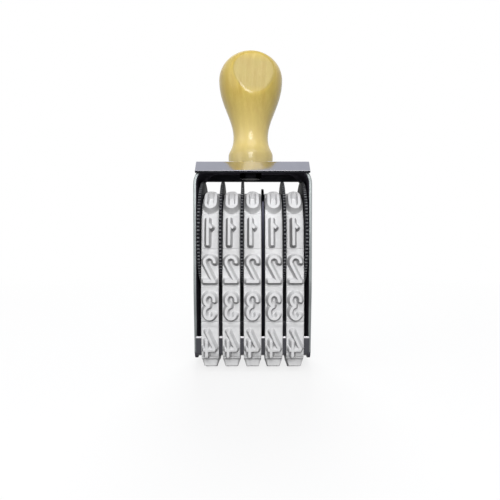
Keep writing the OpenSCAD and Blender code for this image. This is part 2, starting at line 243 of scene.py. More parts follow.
def mathNode(tree, operation, *values):
    return addNode(tree, "ShaderNodeMath", dict(enumerate(values)), operation=operation)[0]


def vectorNode(tree, operation, a, b):
    return addNode(tree, "ShaderNodeVectorMath", {0: a, 1: b}, operation=operation)[0]


def vectorOf(tree, **parts):
    return addNode(tree, "ShaderNodeCombineXYZ", parts)[0]


def partsOf(tree, vector):
    return addNode(tree, "ShaderNodeSeparateXYZ", {0: vector})


def newFinish(name, **sockets):
    material = bpy.data.materials.new(name)
    material.use_nodes = True
    tree = material.node_tree
    shader = tree.nodes["Principled BSDF"]
    for key, value in sockets.items():
        shader.inputs[key.replace("_", " ")].default_value = value
    return material, tree, shader


def mapped(tree, scale=(1, 1, 1), turn=(0, 0, 0)):
    # Object coordinates in millimetres
    where = addNode(tree, "ShaderNodeTexCoord")["Object"]
    size = [s / mm for s in scale]
    return addNode(tree, "ShaderNodeMapping", {"Vector": where, "Scale": size, "Rotation": turn})[0]


def noise(tree, scale, detail, rough, distort=0.0, stretch=(1, 1, 1), turn=(0, 0, 0)):
    return addNode(tree, "ShaderNodeTexNoise", {
        "Vector": mapped(tree, stretch, turn), "Scale": scale, "Detail": detail, "Roughness": rough,
        "Distortion": distort})["Fac"]


def fade(tree, value, start, end, low=0.0, high=1.0, kind="LINEAR"):
    # goes from low to high as the value goes from start to end
    return addNode(tree, "ShaderNodeMapRange", {0: value, 1: start, 2: end, 3: low, 4: high},
                   interpolation_type=kind)[0]


def mixColour(tree, factor, a, b, blend="MIX"):
    a, b = [(*tone, 1) if isinstance(tone, tuple) else tone for tone in (a, b)]
    return addNode(tree, "ShaderNodeMix", {0: factor, 6: a, 7: b}, data_type="RGBA", blend_type=blend)[2]


def tint(tree, factor, tone, share):
    # multiplies a tone by a share of each colour
    return mixColour(tree, factor, tone, mixColour(tree, 1.0, tone, share, "MULTIPLY"))


def shade(colour, share):
    return tuple(c * share for c in colour)


def dress(tree, shader, tone, rough, relief, depth, strength):
    # gives the shader its colour, its roughness and a fine relief
    raised = addNode(tree, "ShaderNodeBump", {"Height": relief, "Distance": depth * mm, "Strength": strength})
    for socket, value in (("Base Color", tone), ("Roughness", rough), ("Normal", raised[0])):
        tree.links.new(value, shader.inputs[socket])


def metalFinish(name, colour, rough, streak, marks=0.2, lift=0.004, inner=None, edge=1.0, lip=None):
    # plated metal: brushed streaks, faint clouds and small handling marks, with painted shade on the inner
    # side and a painted highlight at an edge where asked
    material, tree, shader = newFinish(name, Metallic=1.0, Specular_Tint=(edge, edge, edge, 1))
    streaks = noise(tree, 1.0, 4, 0.6, stretch=streak)
    clouds = noise(tree, 0.12, 3, 0.5, 0.5)
    marksFac = noise(tree, 1.3, 5, 0.7, 0.0, (0.9, 2.2, 1.4), (0.4, 0.7, 0.2))
    tone = mixColour(tree, fade(tree, clouds, 0.35, 0.7), colour, shade(colour, 1 - marks))
    tone = mixColour(tree, fade(tree, marksFac, 0.62, 0.72, 0.0, 0.5), tone, shade(colour, 0.6))
    rough = fade(tree, streaks, 0.3, 0.7, *rough)
    if inner:       # painted shade: the inner side and the undersides are darker; they are also duller
        side = addNode(tree, "ShaderNodeAttribute", attribute_name="inside")["Fac"]
        tone = mixColour(tree, side, tone, mixColour(tree, marksFac, inner, shade(inner, 0.5)))
        rough = mixColour(tree, side, rough, (0.42, 0.42, 0.42))
        tree.links.new(mathNode(tree, "SUBTRACT", 1.0, side), shader.inputs["Metallic"])
        shader.inputs["Specular IOR Level"].default_value = 0.0
    if lip:         # painted highlight: the front sheet's edge gets a bright tone above this height
        parts = partsOf(tree, mapped(tree))
        bright = mathNode(tree, "MULTIPLY", fade(tree, parts["Z"], lip + 0.05, lip + 0.2),
                          mathNode(tree, "LESS_THAN", parts["Y"], 0.0))
        tone = mixColour(tree, bright, tone, (0.52, 0.51, 0.53))
    dress(tree, shader, tone, rough, streaks, lift, 0.5)
    return material


def wheelFinish(colour=(0.03, 0.03, 0.034)):
    # black moulded plastic, worn a little paler in clouds
    material, tree, shader = newFinish("wheelPlastic")
    grain = noise(tree, 2.0, 4, 0.6)
    wear = noise(tree, 0.24, 3, 0.5)
    tone = mixColour(tree, fade(tree, wear, 0.4, 0.7), colour, shade(colour, 1.7))
    dress(tree, shader, tone, fade(tree, grain, 0.3, 0.7, 0.45, 0.6), grain, 0.01, 0.4)
    return material


def rubberFinish():
    # moulded white rubber: fine mottling, faint smudges and a slight chalky grain, with painted shade on the
    # figures' flanks and on the belt's inner side
    material, tree, shader = newFinish("whiteRubber", Specular_IOR_Level=0.08)
    mottle = noise(tree, 0.9, 4, 0.6)
    smudge = noise(tree, 0.16, 3, 0.5, 0.4, (1, 1, 0.6))
    grain = noise(tree, 7.0, 3, 0.6)
    tone = mixColour(tree, fade(tree, mottle, 0.35, 0.68), (0.80, 0.80, 0.805), (0.74, 0.74, 0.75))
    tone = mixColour(tree, fade(tree, smudge, 0.5, 0.75, 0.0, 0.35), tone, (0.68, 0.67, 0.66))
    # painted shade: the marked faces turn dark grey
    soil = addNode(tree, "ShaderNodeAttribute", attribute_name="soil")["Fac"]
    tone = mixColour(tree, soil, tone, mixColour(tree, mottle, (0.07, 0.07, 0.075), (0.11, 0.11, 0.115)))
    dress(tree, shader, tone, fade(tree, grain, 0.3, 0.7, 0.5, 0.62), grain, 0.01, 0.3)
    return material


# the inner tones are painted shade on the sheets' inner sides and undersides
chrome = metalFinish("brightPlate", (0.84, 0.84, 0.87), (0.06, 0.12), streak=(0.25, 6, 6), marks=0.06,
                     lift=0.0003, inner=(0.05, 0.05, 0.06))
steel = metalFinish("platedSteel", (0.225, 0.243, 0.245), (0.34, 0.46), streak=(3, 3, 0.25), lift=0.002,
                    inner=(0.16, 0.15, 0.19))
nutSteel = metalFinish("nutSteel", (0.03, 0.03, 0.036), (0.25, 0.36), streak=(3, 3, 3), edge=0.15)
pinSteel = metalFinish("pinSteel", (0.60, 0.62, 0.62), (0.24, 0.36), streak=(2, 2, 2))
wheelPlastic = wheelFinish()
rubber = rubberFinish()
print("metal, plastic and rubber ready")


grip = {
    "height": 41.3, "headR": 11.48, "headRise": 10.4, "neckR": 6.29, "neckZ": 10.0,
    "footR": 8.06, "footZ": 3.3, "footEdge": 0.6,
    "flatDist": 9.1, "flatCrown": 75.0, "flatTurn": 8.0, "flatTilt": 11.5, "flatEdge": 0.5,
    "sideways": -0.7, "boreR": 2.45, "boreDepth": 16.0, "around": 400,
}
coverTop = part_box("cover_plate")[1].z / mm
headZ = grip["height"] - grip["headRise"]
turnFlat = Matrix.Rotation(math.radians(grip["flatTurn"]), 3, "Z")
tiltFlat = Matrix.Rotation(math.radians(-grip["flatTilt"]), 3, "X")
woodTones = {
    "grain": [(0.62, 0.44, 0.085), (0.72, 0.535, 0.13)], "rings": (0.58, 0.39, 0.07),
    "patches": (0.66, 0.53, 0.11), "flecks": (0.48, 0.31, 0.07),
    "neck": (0.76, 0.62, 0.28), "neckFrom": 2.5, "neckMost": 9.1, "neckTo": 24.5,   # heights over the cover
    # the foot tone is painted shade
    "foot": (0.65, 0.68, 0.86), "footShadeFrom": 6.5, "footShadeTo": 0.9,
    # the flat tone is painted shade
    "flat": (0.80, 0.83, 1.1), "flatShadeFrom": -0.39, "flatShadeTo": -0.14,      # depths in front of the flat
}


def woodFinish():
    # clear varnish over long grain, paler towards the neck, with painted shade at the foot and on the flat
    t = woodTones
    material, tree, shader = newFinish("varnishedWood", Roughness=0.42, Coat_Weight=0.55,
                                       Coat_Roughness=0.16, Specular_IOR_Level=0.15)
    grain = noise(tree, 1.1, 6, 0.6, 0.8, (1, 1, 0.09))
    rings = addNode(tree, "ShaderNodeTexWave", {"Vector": mapped(tree, (1, 0.55, 0.05), (0, 0, 0.5)),
                                                "Scale": 0.14, "Distortion": 3.0, "Detail": 3,
                                                "Detail Scale": 0.8}, wave_type="BANDS")["Fac"]
    flecks = noise(tree, 1.0, 2, 0.5, stretch=(5.5, 5.5, 0.45))
    patches = noise(tree, 1.0, 2, 0.5, 0.6, (0.22, 0.22, 0.14))
    base = mixColour(tree, fade(tree, grain, 0.32, 0.7), *t["grain"])
    base = mixColour(tree, fade(tree, rings, 0.25, 0.8, 0.0, 0.35), base, t["rings"])
    base = mixColour(tree, fade(tree, patches, 0.38, 0.62, 0.3, 0.0), base, t["patches"])
    base = mixColour(tree, fade(tree, flecks, 0.60, 0.74, 0.0, 0.4), base, t["flecks"])
    up = mathNode(tree, "SUBTRACT", partsOf(tree, mapped(tree))["Z"], coverTop)
    neck = mathNode(tree, "MINIMUM", fade(tree, up, t["neckFrom"], t["neckMost"], 0.4, 0.6),
                    fade(tree, up, t["neckMost"], t["neckTo"], 0.6, 0.0))
    base = mixColour(tree, neck, base, t["neck"])
    # painted shade: darker towards the foot, down at the cover
    base = tint(tree, fade(tree, up, t["footShadeFrom"], t["footShadeTo"]), base, t["foot"])
    # painted shade: the flat's tone is darkened and made less yellow
    away = turnFlat @ tiltFlat @ Vector((0, -1, 0))
    flat = away.dot(Vector((grip["sideways"], 0, coverTop + headZ)))
    flat += grip["flatDist"] * cosine(grip["flatTilt"])
    out = addNode(tree, "ShaderNodeVectorMath", {0: mapped(tree), 1: away}, operation="DOT_PRODUCT")["Value"]
    base = tint(tree, fade(tree, out, flat + t["flatShadeFrom"], flat + t["flatShadeTo"]), base, t["flat"])
    dress(tree, shader, base, fade(tree, grain, 0.3, 0.7, 0.36, 0.48), flecks, 0.012, 0.35)
    return material


def bezier(a, b, c, d, steps):
    out = []
    for k in range(steps + 1):
        t = k / steps
        u = 1 - t
        out.append(tuple(u ** 3 * a[i] + 3 * u * u * t * b[i] + 3 * u * t * t * c[i] + t ** 3 * d[i]
                         for i in (0, 1)))
    return out


def gripProfile():
    g = grip
    flare, swell = g["neckZ"] - g["footZ"], headZ - g["neckZ"]
    edge, footR, footZ = g["footEdge"], g["footR"], g["footZ"]
    foot, neck, head = (footR, footZ), (g["neckR"], g["neckZ"]), (g["headR"], headZ)
    line = [(0.02, g["boreDepth"]), (g["boreR"], g["boreDepth"]), (g["boreR"], 0), (footR - edge * 1.2, 0)]
    line += bezier((footR - edge, 0), (footR - edge * 0.3, 0), (footR, edge * 0.6), foot, 12)
    line += bezier(foot, (footR, footZ + flare * 0.25), (neck[0], neck[1] - flare * 0.63), neck, 22)[1:]
    line += bezier(neck, (neck[0], neck[1] + swell * 0.333), (head[0], headZ - swell * 0.416), head, 75)[1:]
    line += arcPoints(0, headZ, g["headR"], g["headRise"], 0, 89.9, 76)[1:]
    return line


def thumbFlat(point):
    # presses the front of the head back to a slightly crowned facet with a soft edge
    g = grip
    centre, back = Vector((0, 0, headZ)), Vector((0, g["flatDist"], 0))
    local = tiltFlat.transposed() @ (turnFlat.transposed() @ (Vector(point) - centre) + back)
    if local.y > 3 or abs(local.z) > 20:
        return point
    facet = g["flatCrown"] - math.sqrt(g["flatCrown"] ** 2 - local.z ** 2)
    blend = max(g["flatEdge"] - abs(local.y - facet), 0) / g["flatEdge"]
    local.y = max(local.y, facet) + blend * blend * g["flatEdge"] / 4
    return turnFlat @ (tiltFlat @ local - back) + centre


def gripPoint(r, angle, h):
    x, y, z = r * math.cos(angle), r * math.sin(angle), h
    if h > grip["neckZ"]:
        x, y, z = thumbFlat((x, y, z))
    return x + grip["sideways"], y, z + coverTop


wood = woodFinish()
woodHandle = lathe("woodHandle", gripProfile(), gripPoint, grip["around"])
place(woodHandle, root, "handle_wood", wood, "handle", smooth=50)
print("handle turned")


nut = {"acrossFlats": 6.8, "height": 3.0, "bore": 2.45, "lip": 0.25, "chamfer": 30.0, "face": 0.95,
       "cornerCut": 0.06, "perSide": 12}


def nutPiece():
    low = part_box("handle_nut")[0].z / mm
    flat, tall, lip = nut["acrossFlats"] / 2, nut["height"], nut["lip"]
    face = flat * nut["face"]
    around = 6 * nut["perSide"]
    points = []
    rings = [("bore", lip, 0), ("bore", tall - lip, 0), ("lip", tall, 0), ("face", tall, 0),
             ("hex", tall, -1), ("hex", 0, 1), ("face", 0, 0), ("lip", 0, 0)]
    for kind, height, way in rings:
        for k in range(around):
            angle = 2 * math.pi * k / around
            inSide = (angle + math.pi / 6) % (math.pi / 3) - math.pi / 6
            hexR = min(flat / math.cos(inSide), flat / math.cos(math.pi / 6) - nut["cornerCut"])
            r = {"bore": nut["bore"], "lip": nut["bore"] + lip, "face": face, "hex": hexR}[kind]
            z = height + way * (hexR - face) * tangent(nut["chamfer"])
            points.append((r * math.cos(angle + math.pi / 6) + grip["sideways"],
                           r * math.sin(angle + math.pi / 6), low + z))
    return meshPiece("hexNut", points, ringFaces(len(rings), around, True))


hexNut = nutPiece()
place(hexNut, root, "nut_steel", nutSteel, "handle_nut", smooth=25)


cover = {"thick": 1.0, "half": 19.35, "depth": 10.8, "slope": 44.0, "flange": 5.25, "bendR": 1.2,
         "topR": 0.7, "lowR": 0.3, "edgeR": 0.18, "bevel": 0.11, "hold": 0.4}


def bentLine(corners, radii, steps):
    # rounds the inner corners of an open line
    line = [corners[0]]
    for i in range(1, len(corners) - 1):
        p = Vector(corners[i])
        back, on = (Vector(corners[i - 1]) - p).normalized(), (Vector(corners[i + 1]) - p).normalized()
        half = back.angle(on) / 2
        reach = radii[i] / math.tan(half)
        centre = p + (back + on).normalized() * radii[i] / math.sin(half)
        a, b = p + back * reach - centre, p + on * reach - centre
        sweep = a.angle_signed(b)
        line += [tuple(centre + Matrix.Rotation(-sweep * k / steps, 2) @ a) for k in range(steps + 1)]
    return line + [corners[-1]]


def coverPiece():
    c = cover
    bend = coverTop - c["thick"] / 2
    far, drop = c["depth"] + c["flange"] * cosine(c["slope"]), c["flange"] * sine(c["slope"])
    corners = [(far, bend - drop), (c["depth"], bend), (-c["depth"], bend), (-far, bend - drop)]
    line = holdEnds(bentLine(corners, [0, c["bendR"], c["bendR"], 0], 10), c["hold"])

    def section(i):
        outerR = c["topR"] if line[i][1] > bend - c["hold"] else c["lowR"]
        return roundedSection(c["half"], -c["thick"] / 2, c["thick"] / 2, c["edgeR"], outerR)

    return ribbon("brightCover", line, section, c["bevel"])


brightCover = coverPiece()
markInside(brightCover, (0, 0, coverTop - 12), (0, 1, 1))
place(brightCover, root, "cover_chrome", chrome, "cover_plate")


legs = {"thick": 1.0, "half": 19.6, "shoulderR": 6.5, "foot": 3.0, "footHalf": 8.5, "footR": 3.0,
        "waist": 27.06, "waistHalf": 12.0, "topHalf": 13.0, "webHalf": 10.0, "slope": 44.0, "edgeR": 0.15}


def legDepth(z, top):
    # half of the frame's depth at height z
    g = legs
    shoulder = top - (g["topHalf"] - g["webHalf"]) * tangent(g["slope"])
    if z >= shoulder:
        return max(g["topHalf"] - (z - shoulder) / tangent(g["slope"]), g["webHalf"])
    if z >= g["waist"]:
        return g["waistHalf"] + (g["topHalf"] - g["waistHalf"]) * (z - g["waist"]) / (shoulder - g["waist"])
    depth = g["footHalf"] + (g["waistHalf"] - g["footHalf"]) * (z - g["foot"]) / (g["waist"] - g["foot"])
    up = z - g["foot"]
    if up < g["footR"]:
        depth -= g["footR"] - math.sqrt(g["footR"] ** 2 - (g["footR"] - up) ** 2)
    return depth


def framePiece():
    g = legs
    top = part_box("frame")[1].z / mm
    mid = top - g["thick"] / 2
    rise = [g["foot"] + g["footR"] * (1 - cosine(a)) for a in range(0, 91, 9)]
    straight = mid - g["shoulderR"]
    rise += [rise[-1] + (straight - rise[-1]) * k / 24 for k in range(1, 25)]
    left = [(-g["half"], z) for z in rise]
    bend = arcPoints(-g["half"] + g["shoulderR"], straight, g["shoulderR"], g["shoulderR"], 180, 90, 16)[1:]
    web = [((-g["half"] + g["shoulderR"]) * (1 - k / 6), mid) for k in range(1, 7)]
    half = left + bend + web
    line = half + [(-x, z) for x, z in reversed(half[:-1])]

    def section(i):
        return roundedSection(legDepth(line[i][1], top), -g["thick"] / 2, g["thick"] / 2, g["edgeR"],
                              g["edgeR"], 3)

    return ribbon("legFrame", line, section, g["edgeR"], lambda a, b, across: (a, across, b))


legFrame = framePiece()
markInside(legFrame, (0, 0, 60), (1, 0, 1))
place(legFrame, root, "frame_steel", steel, "frame")
print("cover and frame bent")


axle = {"height": 46.56, "radius": 1.2, "headR": 1.6, "headRise": 1.1, "out": 20.1}


def aboutAxle(r, angle, x):
    return x, r * math.cos(angle), axle["height"] + r * math.sin(angle)


def axlePiece():
    a = axle
    dome = [(a["headR"] * math.cos(t), a["headRise"] * 0.25 + a["headRise"] * 0.75 * math.sin(t))
            for t in [math.radians(k) for k in range(0, 90, 6)]] + [(0.02, a["headRise"])]
    right = [(a["radius"], a["out"]), (a["headR"] - 0.1, a["out"]), (a["headR"], a["out"] + 0.1)]
    right += [(r, a["out"] + h) for r, h in dome[1:]]
    return lathe("axlePin", bothEnds(right), aboutAxle, 64)


axlePin = axlePiece()
place(axlePin, root, "steel", pinSteel, "axle")


disc = {"radius": 19.0, "tooth": 0.45, "toothSunk": 0.12, "thick": 0.9, "bore": 1.25, "teeth": 96,
        "edge": 0.12, "base": 0.68, "tip": 0.34, "rimWide": 1.5, "rimStep": 0.05, "glintFrom": 0.28,
        "glintTo": 0.08, "sides": [-17.75, -10.65, -3.55, 10.65, 17.75]}


def discFinish():
    # blackened sheet whose teeth carry painted glints, bright at their tips
    material, tree, shader = newFinish("blackDisc", Specular_IOR_Level=0.02)
    parts = partsOf(tree, mapped(tree))
    up = mathNode(tree, "SUBTRACT", parts["Z"], axle["height"])
    out = mathNode(tree, "SQRT", mathNode(tree, "ADD", mathNode(tree, "MULTIPLY", parts["Y"], parts["Y"]),
                                          mathNode(tree, "MULTIPLY", up, up)))
    # painted glints: the tips of the teeth are bright, broken up by specks
    paintedGlint = fade(tree, out, disc["radius"] - disc["glintFrom"], disc["radius"] - disc["glintTo"])
    speck = noise(tree, 1.1, 4, 0.65)
    paintedGlint = mathNode(tree, "MULTIPLY", paintedGlint, fade(tree, speck, 0.36, 0.6, 0.15, 0.85))
    clouds = noise(tree, 0.35, 4, 0.6, 0.4)
    tone = mixColour(tree, fade(tree, clouds, 0.35, 0.7), (0.008, 0.008, 0.011), (0.022, 0.022, 0.028))
    tone = mixColour(tree, paintedGlint, tone, (0.23, 0.235, 0.245))
    dress(tree, shader, tone, fade(tree, speck, 0.3, 0.7, 0.42, 0.55), speck, 0.01, 0.4)
    return material


def toothPiece():
    # one tooth, standing on the rim at the top of a disc centred on the origin
    d = disc
    pitch = 2 * math.pi / d["teeth"]
    low, high = d["radius"] - d["tooth"] - d["toothSunk"], d["radius"]
    wide, narrow = d["base"] * pitch * d["radius"] / 2, d["tip"] * pitch * d["radius"] / 2
    half = d["thick"] / 2
    outline = [(-wide, low), (wide, low), (narrow, high), (-narrow, high)]
    points = [(x, y, z) for x in (-half, half) for y, z in outline]
    faces = [(0, 1, 2, 3), (4, 5, 6, 7), (0, 1, 5, 4), (1, 2, 6, 5), (2, 3, 7, 6), (3, 0, 4, 7)]
    return softenEdges(meshPiece("tooth", points, faces), d["edge"] * 0.8, 2, 30)


def newTree(name, inputs, output):
    tree = bpy.data.node_groups.new(name, "GeometryNodeTree")
    for label, kind in inputs:
        tree.interface.new_socket(label, in_out="INPUT", socket_type="NodeSocket" + kind)
    tree.interface.new_socket(output, in_out="OUTPUT", socket_type="NodeSocketGeometry")
    return tree, tree.nodes.new("NodeGroupInput").outputs, tree.nodes.new("NodeGroupOutput").inputs


def joinShapes(tree, *shapes):
    node = tree.nodes.new("GeometryNodeJoinGeometry")
    for shape in shapes:
        tree.links.new(shape, node.inputs[0])
    return node.outputs[0]


def endTree(tree, shape, finish, result):
    # makes the instances real and gives them their finish
    real = addNode(tree, "GeometryNodeRealizeInstances", {"Geometry": shape})
    done = addNode(tree, "GeometryNodeSetMaterial", {"Geometry": real[0], "Material": finish})
    tree.links.new(done[0], result[0])
    return tree


def runTree(piece, tree, values):
    modifier = piece.modifiers.new(tree.name, "NODES")
    modifier.node_group = tree
    sockets = {item.name: item.identifier for item in tree.interface.items_tree if item.in_out == "INPUT"}
    for label, value in values.items():
        modifier[sockets[label]] = value
    return applyModifiers(piece)


def teethTree():
    # stands one tooth round the rim as often as asked and joins the disc to them
    tree, given, result = newTree("teethRoundRim", [
        ("Disc", "Geometry"), ("Tooth", "Object"), ("Teeth", "Int"), ("Across", "Float"),
        ("Height", "Float"), ("Finish", "Material")], "Toothed disc")
    centre = vectorOf(tree, X=given["Across"], Z=given["Height"])
    points = addNode(tree, "GeometryNodeMeshLine", {"Count": given["Teeth"], "Start Location": centre,
                                                    "Offset": (0, 0, 0)})
    index = addNode(tree, "GeometryNodeInputIndex")[0]
    angle = mathNode(tree, "MULTIPLY", index, mathNode(tree, "DIVIDE", 2 * math.pi, given["Teeth"]))
    tooth = addNode(tree, "GeometryNodeObjectInfo", {"Object": given["Tooth"]})
    teeth = addNode(tree, "GeometryNodeInstanceOnPoints", {
        "Points": points[0], "Instance": tooth["Geometry"], "Rotation": vectorOf(tree, X=angle)})
    return endTree(tree, joinShapes(tree, teeth[0], given["Disc"]), given["Finish"], result)


def discBody(number, x):
    d = disc
    rim, half, e = d["radius"] - d["tooth"], d["thick"] / 2, d["edge"]
    inner, step = rim - d["rimWide"], half - d["rimStep"]
    right = [(rim, step - e), (rim - e, step), (inner, step), (inner - 0.1, half), (d["bore"], half)]
    return lathe("toothedDisc%d" % number, [(r, x + h) for r, h in bothEnds(right)], aboutAxle, 192, True)


discBlack = discFinish()
tooth = toothPiece()
rimTree = teethTree()
for number, x in enumerate(disc["sides"], 1):
    piece = discBody(number, x)
    runTree(piece, rimTree, {"Tooth": tooth, "Teeth": disc["teeth"], "Across": x * mm,
                             "Height": axle["height"] * mm, "Finish": discBlack})
    place(piece, "wheel_%d" % number, "disc_black", discBlack, "thumb_disc_%d" % number, smooth=30)
bpy.data.objects.remove(tooth)
print("discs toothed")


run = {"drum": 13.15, "thick": 1.5, "bowR": 200.0, "bowOut": 6.0, "cornerR": 2.5, "slope": 18.0,
       "padDepth": 11.2, "padEdgeR": 3.0, "relief": 2.2, "places": 13, "roll": 15.85}


def layPath():
    # front half of the loop as arcs and straight runs, from the crest to the middle of the pad
    r = run
    drumR, bowOut = r["drum"] + r["thick"], r["bowOut"]
    lean = 90 - r["slope"]
    padEdge = r["padDepth"] / 2 + r["padEdgeR"] * cosine(lean)
    drop = axle["height"] - r["relief"]
    side = (drop + (drumR - r["bowR"]) * sine(bowOut) - r["cornerR"] * sine(lean)
            - r["padEdgeR"] * (1 - sine(lean))
            - ((drumR - r["bowR"]) * cosine(bowOut) + r["cornerR"] * cosine(lean) - padEdge) / tangent(lean))
    bowIn = lean - math.degrees(math.acos(sine(lean) * side / (r["bowR"] - r["cornerR"])))
    cornerDepth = (drumR * cosine(bowOut) + r["bowR"] * (cosine(bowIn) - cosine(bowOut))
                   + r["cornerR"] * (cosine(lean) - cosine(bowIn)))
    return [(drumR, -90, -bowOut), (r["bowR"], -bowOut, bowIn), (r["cornerR"], bowIn, lean),
            (None, lean, (cornerDepth - padEdge) / sine(lean)), (r["padEdgeR"], lean, 90),
            (None, 90, r["padDepth"] / 2)]


def walkPath(step):
    # stations of the front half, about a step apart: distance, depth, height over the axle, heading
    s = 0.0
    out = [(s, 0.0, run["drum"] + run["thick"], -90.0)]
    for radius, start, end in layPath():
        length = end if radius is None else radius * math.radians(end - start)
        count = max(1, round(length / step))
        baseDepth, baseHeight = out[-1][1], out[-1][2]
        for k in range(1, count + 1):
            if radius is None:
                a, far = start, length * k / count
                d = baseDepth - far * sine(a)
                h = baseHeight - far * cosine(a)
            else:
                a = start + (end - start) * k / count
                d = baseDepth + radius * (cosine(a) - cosine(start))
                h = baseHeight - radius * (sine(a) - sine(start))
            out.append((s + length * k / count, d, h, a))
        s += length
    return out


halfRun = walkPath(0.08)
loop = 2 * halfRun[-1][0]
spacing = loop / run["places"]
whole = [(s, -d, h, a) for s, d, h, a in halfRun]
whole += [(loop - s, d, h, 180 - a) for s, d, h, a in reversed(halfRun[1:-1])]
print("band path", round(loop, 3), "spacing", round(spacing, 4))


def pathObject():
    curve = bpy.data.curves.new("bandRun", "CURVE")
    curve.dimensions = "3D"
    spline = curve.splines.new("POLY")
    spline.points.add(len(whole) - 1)
    for point, station in zip(spline.points, whole):
        point.co = (0, station[1] * mm, (axle["height"] + station[2]) * mm, 1)
    spline.use_cyclic_u = True
    return newObject("bandRun", curve)


figure = {
    "wide": 4.2, "tall": 8.9, "line": 0.95,
    "squat": 0.89, "zeroDown": 0.85,    # the 0 bends over the drum, shortens and settles a little
    "levels": [(-0.3, 0.80), (0.0, 0.80), (0.08, 0.71), (0.5, 0.55), (1.0, 0.37), (1.5, 0.20), (1.95, 0.06),
               (2.08, 0.02), (2.16, -0.02), (2.2, -0.07)],     # height, spread
    "cornerR": 0.30, "margin": 1.1, "holeSpread": 0.6, "keep": 0.94, "capReach": 0.42, "cutEvery": 0.5,
    # shares of painted shade on the left, right and lower flanks, and a smaller share on the 0
    "paintedShadeLeft": 0.5, "paintedShadeRight": 0.14, "paintedShadeUnder": 0.68, "paintedShadeZero": 0.28,
}


def offsetLine(line, closed):
    # unit mitre vectors of a line, to its left
    count = len(line)
    out = []
    for i in range(count):
        before = line[i - 1] if closed or i else None
        after = line[(i + 1) % count] if closed or i < count - 1 else None
        sides = []
        for a, b in ((before, line[i]), (line[i], after)):
            if a is not None and b is not None:
                d = (Vector(b) - Vector(a)).normalized()
                sides.append(Vector((-d.y, d.x)))
        if len(sides) == 2:
            both = sides[0] + sides[1]
            out.append(both / (1 + sides[0].dot(sides[1])))
        else:
            out.append(sides[0])
    return out


def bendRadii(line):
    # radius of the bend at each point of a line, positive when it curves to the left
    radii = []
    for a, b, c in zip(line, line[1:], line[2:]):
        u, v, w = Vector(b) - Vector(a), Vector(c) - Vector(b), Vector(c) - Vector(a)
        area = u.x * v.y - u.y * v.x
        radii.append(u.length * v.length * w.length / (2 * area) if abs(area) > 1e-6 else math.inf)
    return radii[:1] + radii + radii[-1:] if radii else [math.inf, math.inf]


def strokeOutline(line, half, spread):
    # closed outline of a stroke with rounded end corners; the inner side of a bend stops short of its centre
    side = offsetLine(line, False)
    radii = bendRadii(line)
    leftHalf = [min(half, r * figure["keep"]) if r > 0 else half for r in radii]
    rightHalf = [min(half, -r * figure["keep"]) if r < 0 else half for r in radii]
    steps = 4

    def cap(point, on, left, leftward, rightward):
        points = []
        r = min(figure["cornerR"] + max(spread, 0) * 0.8, leftward * 0.95, rightward * 0.95)
        for centre, a, b in ((point + on * (spread - r) + left * (leftward - r), left, on),
                             (point + on * (spread - r) - left * (rightward - r), on, -left)):
            for k in range(steps + 1):
                t = math.pi / 2 * k / steps
                points.append(centre + r * (a * math.cos(t) + b * math.sin(t)))
        return points

    first, last = Vector(line[0]), Vector(line[-1])
    clear = [min((Vector(p) - first).length, (Vector(p) - last).length) > figure["capReach"] for p in line]
    left = [Vector(p) + m * h for p, m, h, ok in zip(line, side, leftHalf, clear) if ok]
    right = [Vector(p) - m * h for p, m, h, ok in reversed(list(zip(line, side, rightHalf, clear))) if ok]
    endOn = (last - Vector(line[-2])).normalized()
    startOn = (first - Vector(line[1])).normalized()
    return left + cap(last, endOn, Vector((-endOn.y, endOn.x)), leftHalf[-1], rightHalf[-1]) + right \
        + cap(first, startOn, Vector((-startOn.y, startOn.x)), rightHalf[0], leftHalf[0])


def strokeSolid(line, closed, lift):
    # one stroke with its sloped sides, in millimetres to the right, up and out of the figure
    half = figure["line"] / 2
    points, faces = [], []
    levels = figure["levels"]
    if closed:
        side = offsetLine(line, True)
        count = len(line)
        for sign, share in ((-1, 1), (1, figure["holeSpread"])):
            for height, spread in levels:
                out = sign * (half + spread * share)
                points += [(*(Vector(p) + m * out), height + lift) for p, m in zip(line, side)]
        rows = len(levels)
        outer = ringFaces(rows, count)
        faces = outer + [tuple(i + rows * count for i in f) for f in outer]
        for a, b in ((0, rows), (rows - 1, 2 * rows - 1)):
            faces += [(a * count + k, a * count + (k + 1) % count, b * count + (k + 1) % count, b * count + k)
                      for k in range(count)]
    else:
        for height, spread in levels:
            points += [(*p, height + lift) for p in strokeOutline(line, half + spread, spread)]
        count = len(points) // len(levels)
        faces = ringFaces(len(levels), count)
        faces.append(tuple(range(count)))
        faces.append(tuple(range(len(points) - count, len(points))))
    return meshPiece("stroke", points, faces, unit=1)


